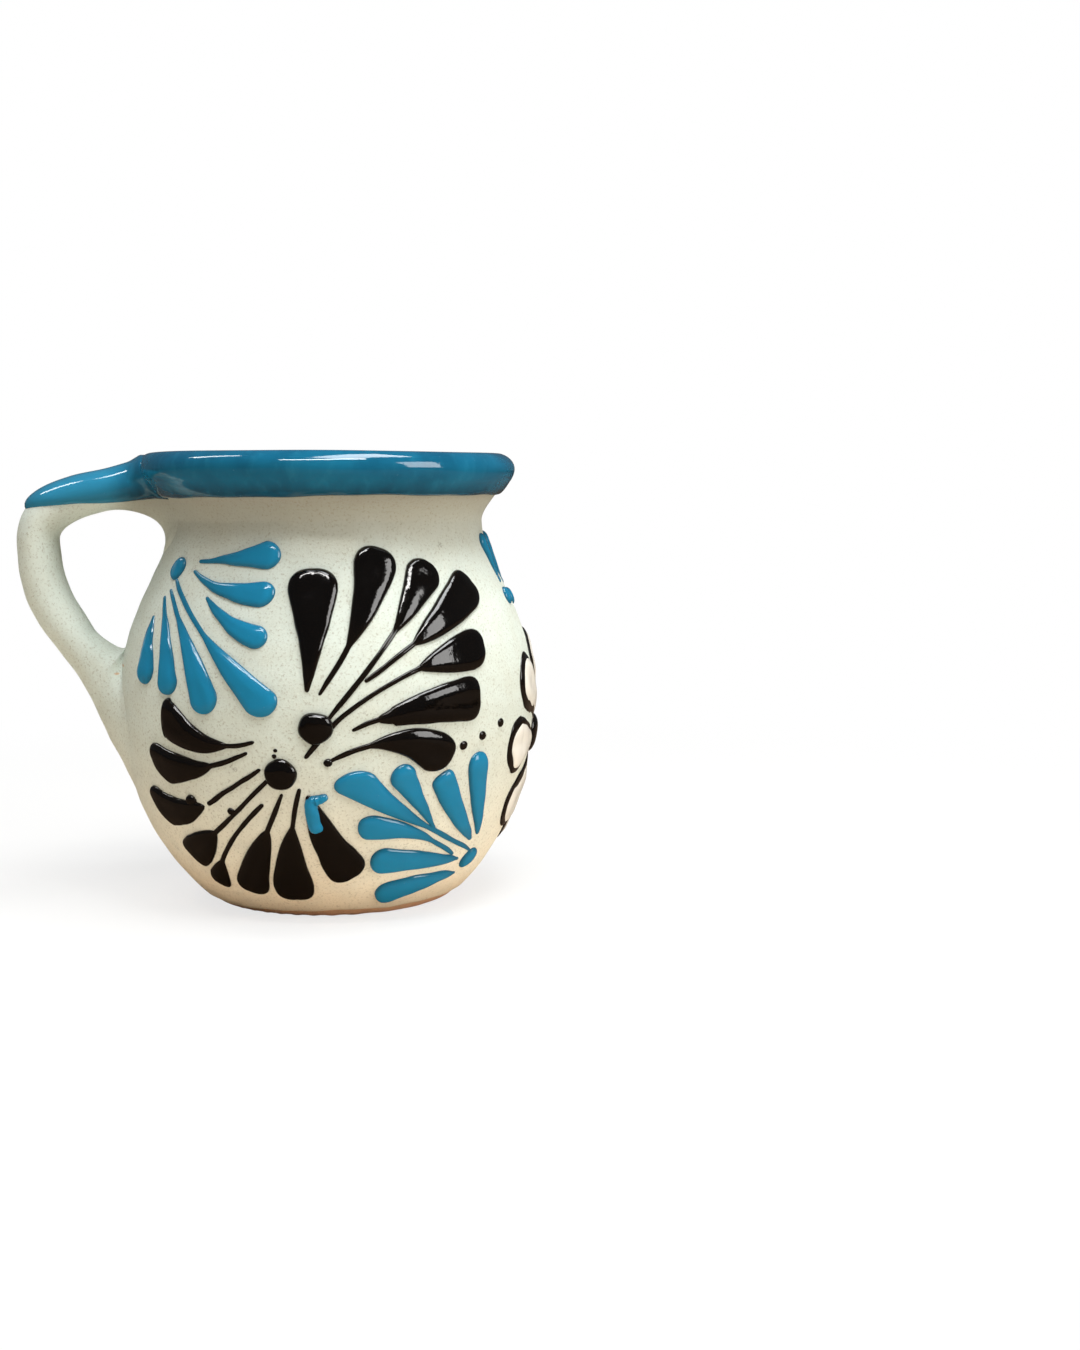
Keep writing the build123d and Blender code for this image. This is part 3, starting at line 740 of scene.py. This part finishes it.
seed = 0
for side in ("", "far_"):
    for fan, (slot, (eye_place, eye_long, eye_wide, eye_turn), strokes) in fans.items():
        beads = []
        for stroke in strokes:
            seed += 1
            row = far_side(stroke) if side else stroke
            beads.append(trailed(f"bead_{seed}", row, seed))
        for bearing, climb, half in knots.get(fan, ()):
            seed += 1
            bearing = 180 - bearing if side else bearing
            beads.append(dropped(f"knot_{seed}", (bearing, climb), half, half * 0.9, 0, seed, 0.8))
        place = (180 - eye_place[0], eye_place[1]) if side else eye_place
        eye_turn = 180 - eye_turn if side else eye_turn
        eye = dropped(f"{side}{fan}_bead_eye", place, eye_long, eye_wide, eye_turn, seed + 500)
        laid(eye, finishes[slot], f"{side}{fan}_eye")
        petals = joined(f"{side}{fan}_strokes", beads)
        laid(petals, finishes[slot], f"{side}{fan}_petals")

# The flower opposite the handle: heavy white petals trailed over wider black ones, round a black eye, with
# three blue strokes over it.
flower_place = (90, -0.2)
flower_petals = 8
petal_reach = 18.8 * mm
petal_start_share = 0.25
outline_beads, petal_beads = [], []
for petal in range(flower_petals):
    angle = 2 * math.pi * petal / flower_petals
    spots = []
    for share in (petal_start_share, (1 + petal_start_share) / 2, 1):
        bearing = flower_place[0] + math.degrees(petal_reach * share * math.cos(angle) / belly[0])
        spots.append((bearing, flower_place[1] + petal_reach * share * math.sin(angle) / belly_run))
    outline_row = (*spots, 0.1, 6.1 * mm, 1.1, 2.2, 0, 0)
    petal_row = (*spots, 0.16, 5.1 * mm, 1.2, 2.2, 0, 0)
    outline_beads.append(trailed(f"outline_{petal}", outline_row, 200 + petal, 0.55))
    petal_beads.append(trailed(f"petal_{petal}", petal_row, 220 + petal, 0.85))
white_enamel = enamel("white_enamel", shade(238, 235, 226), shade(214, 208, 196), 0.16, 0.05 * mm)
flower_outline = joined("flower_dark_strokes", outline_beads)
flower_white = joined("flower_white_strokes", petal_beads)
flower_eye = dropped("flower_bead_eye", flower_place, 4.5 * mm, 4.4 * mm, 0, 240, 0.4)
laid(flower_outline, black_enamel, "flower_outline")
laid(flower_white, white_enamel, "flower_petals")
laid(flower_eye, black_enamel, "flower_eye")
crown_strokes = (
    ((76, 0.64), (76.5, 0.75), (74.5, 0.88), 0.15, 2.1 * mm, 1.0, 2.0, 0.0, 0.0),
    ((90, 0.62), (90, 0.74), (90, 0.88), 0.15, 2.4 * mm, 1.0, 2.0, 0.0, 0.0),
    ((104, 0.64), (103.5, 0.75), (105.5, 0.88), 0.15, 2.1 * mm, 1.0, 2.0, 0.0, 0.0),
)
crown_beads = [trailed(f"crown_{row}", stroke, 250 + row) for row, stroke in enumerate(crown_strokes)]
laid(joined("crown_strokes", crown_beads), blue_enamel, "crown_petals")
crown_places = ((76, 0.56), (90, 0.54), (104, 0.56))
crown_drops = [
    dropped(f"crown_eye_{row}", place, 2.0 * mm, 1.8 * mm, 90, 260 + row)
    for row, place in enumerate(crown_places)
]
laid(joined("crown_bead_eyes", crown_drops), blue_enamel, "crown_eyes")

# Stray slip: two strokes of blue that ran together over a black petal, and plain black dots beside the fans,
# each touched on with the bulb's tip.
stray_strokes = (
    ((-1.6, -0.325), (-3.6, -0.335), (-5.6, -0.345), 0.00, 1.05 * mm, 0.5, 2.2, 0.0, 0.0),
    ((-6.3, -0.33), (-6.0, -0.39), (-5.0, -0.455), 0.00, 1.57 * mm, 0.35, 2.2, 0.0, 0.0),
)
stray_beads = [trailed(f"stray_{row}", stroke, 270 + row, 1.9) for row, stroke in enumerate(stray_strokes)]
laid(joined("stray_stroke", stray_beads), blue_enamel, "stray_drop")
dot_places = (
    (37, -0.15, 1.0 * mm),
    (44, -0.12, 1.0 * mm),
    (52, -0.08, 1.0 * mm),
    (-15.3, -0.155, 0.5 * mm),
    (-14.9, -0.131, 0.42 * mm),
)
dot_drops = [
    dropped(f"dot_{row}", (bearing, climb), half, half * 0.92, 0, 280 + row)
    for row, (bearing, climb, half) in enumerate(dot_places)
]
laid(joined("black_dots", dot_drops), black_enamel, "dots")

# The glaze: a glassy blue that the lip, the inside and the handle's top were dipped in upside down. It pools
# in a thicker, darker bead along its lower edge and breaks thinner over the lip's crest.
glaze_thickness = 0.5 * mm
glaze_drop = 8.6 * mm
dip_tilt = math.radians(0.6)
handle_dip_slope = 0.085
outer_rows = pot_run <= crest_run
dip_heights = (
    mug_height
    - glaze_drop
    + math.tan(dip_tilt) * fat_radius(86 * mm) * np.sin(np.radians(bearings))
    + waves(bearings, (0.12 * mm, 3, 0.9), (0.1 * mm, 7, 0.2), (0.06 * mm, 17, 2.2))
)
glaze_start = np.interp(dip_heights, pot_line[outer_rows, 1], pot_run[outer_rows])


def pooled(from_edge):
    """The glaze's depth by distance from its edge."""
    rising = glaze_thickness * 1.75 * (1 - np.exp(-np.maximum(from_edge - 0.1 * mm, 0) / (0.45 * mm)))
    thinning = glaze_thickness * 0.75 * eased((from_edge - 1.0 * mm) / (5 * mm))
    return np.where(from_edge < 0.1 * mm, (from_edge - 0.1 * mm) * 2.5, rising - thinning)


def glaze_lift(run, from_edge):
    """The glaze over the pot: thin on the lip's crest, in soft rings inside."""
    lift = pooled(from_edge)
    on_crest = np.exp(-(((run - crest_run) / (4 * mm)) ** 2))
    inside = eased((run - inner_run) / (8 * mm)) * eased((pot_run[-1] - run) / (20 * mm))
    rings = 0.22 * mm * np.sin(2 * math.pi * run / (7.3 * mm) + np.radians(bearings)[None, :])
    sway = 0.05 * mm * np.sin(2 * math.pi * run / (4.7 * mm) + 2 * np.sin(np.radians(bearings * 3))[None, :])
    return lift - 0.1 * mm * on_crest + rings * inside + sway * eased(from_edge / (2 * mm))


glaze_row_shares = np.concatenate([
    np.linspace(0, 0.02, 60),
    np.linspace(0.02, 0.15, 170)[1:],
    np.linspace(0.15, 1, 250)[1:],
])
glaze_end = pot_run[-1] - 0.4 * mm
glaze_skin = 0.3 * mm
dipped_glaze = dipped("dipped_glaze", glaze_start, glaze_end, glaze_lift, glaze_row_shares, glaze_skin)


def handle_edge(grid):
    """Height above the dip's line on the handle."""
    out = np.maximum(-grid[..., 0] - 33 * mm, 0)
    line = mug_height - glaze_drop - math.tan(dip_tilt) * 34 * mm - handle_dip_slope * out
    return grid[..., 2] - line - 0.15 * mm * np.sin(grid[..., 1] / (1.7 * mm))


def handle_pool(grid):
    """The glaze's depth on the handle, with none well below its edge."""
    from_edge = handle_edge(grid)
    return pooled(from_edge) * (from_edge > -3 * mm)


handle_glaze = skin("handle_top_glaze", pulled_strap(handle_pool))
edge_height = handle_edge(bare_strap).ravel()
cut = bmesh.new()
cut.from_mesh(handle_glaze.data)
cut.verts.ensure_lookup_table()
undipped = [vert for vert in cut.verts if edge_height[vert.index] < -0.9 * mm]
bmesh.ops.delete(cut, geom=undipped, context="VERTS")
cut.to_mesh(handle_glaze.data)
cut.free()
thickened(handle_glaze, glaze_skin)

blue_glaze = Finish("blue_glaze", Coat_Roughness=0.02, Specular_IOR_Level=0.55)
glaze_flow = blue_glaze.grain(11 * mm, 3)
glaze_streak = blue_glaze.grain(2.2 * mm, 3, stretch=(1, 1, 0.35))
low_edge = 1 - (blue_glaze.height() + (glaze_streak - 0.5) * (1.6 * mm)).between(85.2 * mm, 89.5 * mm)
glaze_body = blue_glaze.blend(glaze_flow.between(0.3, 0.7), shade(14, 84, 114), shade(20, 102, 134))
glaze_body = blue_glaze.blend(glaze_streak.between(0.5, 0.8) * 0.35, glaze_body, shade(40, 122, 150))
glaze_body = blue_glaze.blend(low_edge * 0.75, glaze_body, shade(14, 40, 48))
# Painted light: the glaze over the handle is made lighter where the lamps catch its top.
painted_handle_light = blue_glaze.node("SeparateXYZ", "X", None, {0: blue_glaze.place}).between(-38 * mm, -47 * mm)
glaze_body = blue_glaze.blend(painted_handle_light * 0.6, glaze_body, shade(52, 146, 182))
glaze_pores = blue_glaze.grain(0.8 * mm, 2, 0.6)
glaze_body = blue_glaze.blend(glaze_pores.between(0.72, 0.8) * 0.4, glaze_body, shade(90, 150, 168))
blue_glaze.feed(
    Base_Color=glaze_body,
    Roughness=0.06 + glaze_pores.between(0.66, 0.78) * 0.2,
    Normal=blue_glaze.bump(0.04 * mm, glaze_streak),
)
laid(dipped_glaze, blue_glaze, "rim_glaze")
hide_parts("inner_glaze")
laid(handle_glaze, blue_glaze, "handle_glaze")

# The table: a pale seamless floor that fades to white, soft lamps and a camera a little above the table, near
# the lip's level.
table_size = 4.0
table_drop = 0.05 * mm
bpy.ops.mesh.primitive_plane_add(size=table_size, location=(0, 0, -table_drop))
table_top = bpy.context.object
table_top.name = "table_top"
paper = Finish("table_paper", Roughness=0.9)
glow = paper.node("Emission", "Emission", None, {"Strength": 1.0})
seen = paper.node("LightPath", "Is Camera Ray")
far = paper.node("VectorMath", "Value", {"operation": "LENGTH"}, {0: paper.place})
fade_share = 0.74 + far.between(90 * mm, 300 * mm) * 0.26
plain_paper = Wire(paper, paper.shader.outputs["BSDF"])
lit_paper = paper.node("MixShader", 0, None, {0: seen * fade_share, 1: plain_paper, 2: glow})
mirrored = paper.node("LightPath", "Is Glossy Ray")
paper_colour = paper.blend(seen, (0.92, 0.80, 0.66, 1), (0.86, 0.85, 0.83, 1))
paper.feed(Base_Color=paper.blend(mirrored, paper_colour, (0.12, 0.075, 0.045, 1)))
paper.tree.links.new(lit_paper.socket, paper.tree.nodes["Material Output"].inputs["Surface"])
paper.on(table_top)


class Air(Finish):
    """The studio's air: a plain white to the camera, dim to the mug, and dimmer in its gloss."""

    def __init__(self, world):
        world.use_nodes = True
        self.tree = world.node_tree


studio = bpy.data.worlds.new("studio")
bpy.context.scene.world = studio
air = Air(studio)
air_colour = (0.95, 0.97, 1.0, 1)
white_air = air.node("Background", "Background", None, {"Color": (1, 1, 1, 1), "Strength": 1})
dim_air = air.node("Background", "Background", None, {"Color": air_colour, "Strength": 0.14})
mirrored_air = air.node("Background", "Background", None, {"Color": air_colour, "Strength": 0.09})
in_gloss = air.node("LightPath", "Is Glossy Ray")
in_camera = air.node("LightPath", "Is Camera Ray")
unseen_air = air.node("MixShader", 0, None, {0: in_gloss, 1: dim_air, 2: mirrored_air})
whole_air = air.node("MixShader", 0, None, {0: in_camera, 1: unseen_air, 2: white_air})
air.tree.links.new(whole_air.socket, air.tree.nodes["World Output"].inputs["Surface"])

lamp_aim = (0, 0, 50 * mm)
lamps = (
    ("right_window", (0.66, -0.40, 0.36), 0.34, 0.40, 2.9, (1.0, 0.99, 0.97)),
    ("top_box", (0.16, -0.12, 0.80), 0.46, 0.30, 5.0, (0.97, 0.99, 1.0)),
    ("front_strip", (-0.02, -0.36, 0.70), 0.50, 0.06, 2.6, (1.0, 0.99, 0.97)),
    ("back_left", (-0.45, 0.25, 0.75), 0.10, 0.30, 1.1, (1.0, 0.99, 0.97)),
)
for name, place, wide, tall, power, colour in lamps:
    lamp = bpy.data.lights.new(name, "AREA")
    lamp.shape = "RECTANGLE"
    lamp.size = wide
    lamp.size_y = tall
    lamp.energy = power
    lamp.color = colour
    holder = bpy.data.objects.new(name, lamp)
    holder.location = place
    aim = bpy.data.objects.new(name + "_aim", None)
    aim.location = lamp_aim
    bpy.context.scene.collection.objects.link(holder)
    bpy.context.scene.collection.objects.link(aim)
    track = holder.constraints.new("TRACK_TO")
    track.target = aim
    track.track_axis = "TRACK_NEGATIVE_Z"
    track.up_axis = "UP_Y"

camera_place = (0, -400 * mm, 92 * mm)
look_down = 6.49
look_right = 6.49
camera_roll = 0.26
lens = bpy.data.cameras.new("camera")
lens.sensor_width = 36
lens.lens = 49.33
lens.clip_start = 0.01
camera = bpy.data.objects.new("camera", lens)
camera.location = camera_place
camera.rotation_euler = (math.radians(90 - look_down), math.radians(camera_roll), math.radians(-look_right))
bpy.context.scene.collection.objects.link(camera)
bpy.context.scene.camera = camera
bpy.context.scene.view_settings.view_transform = "Standard"
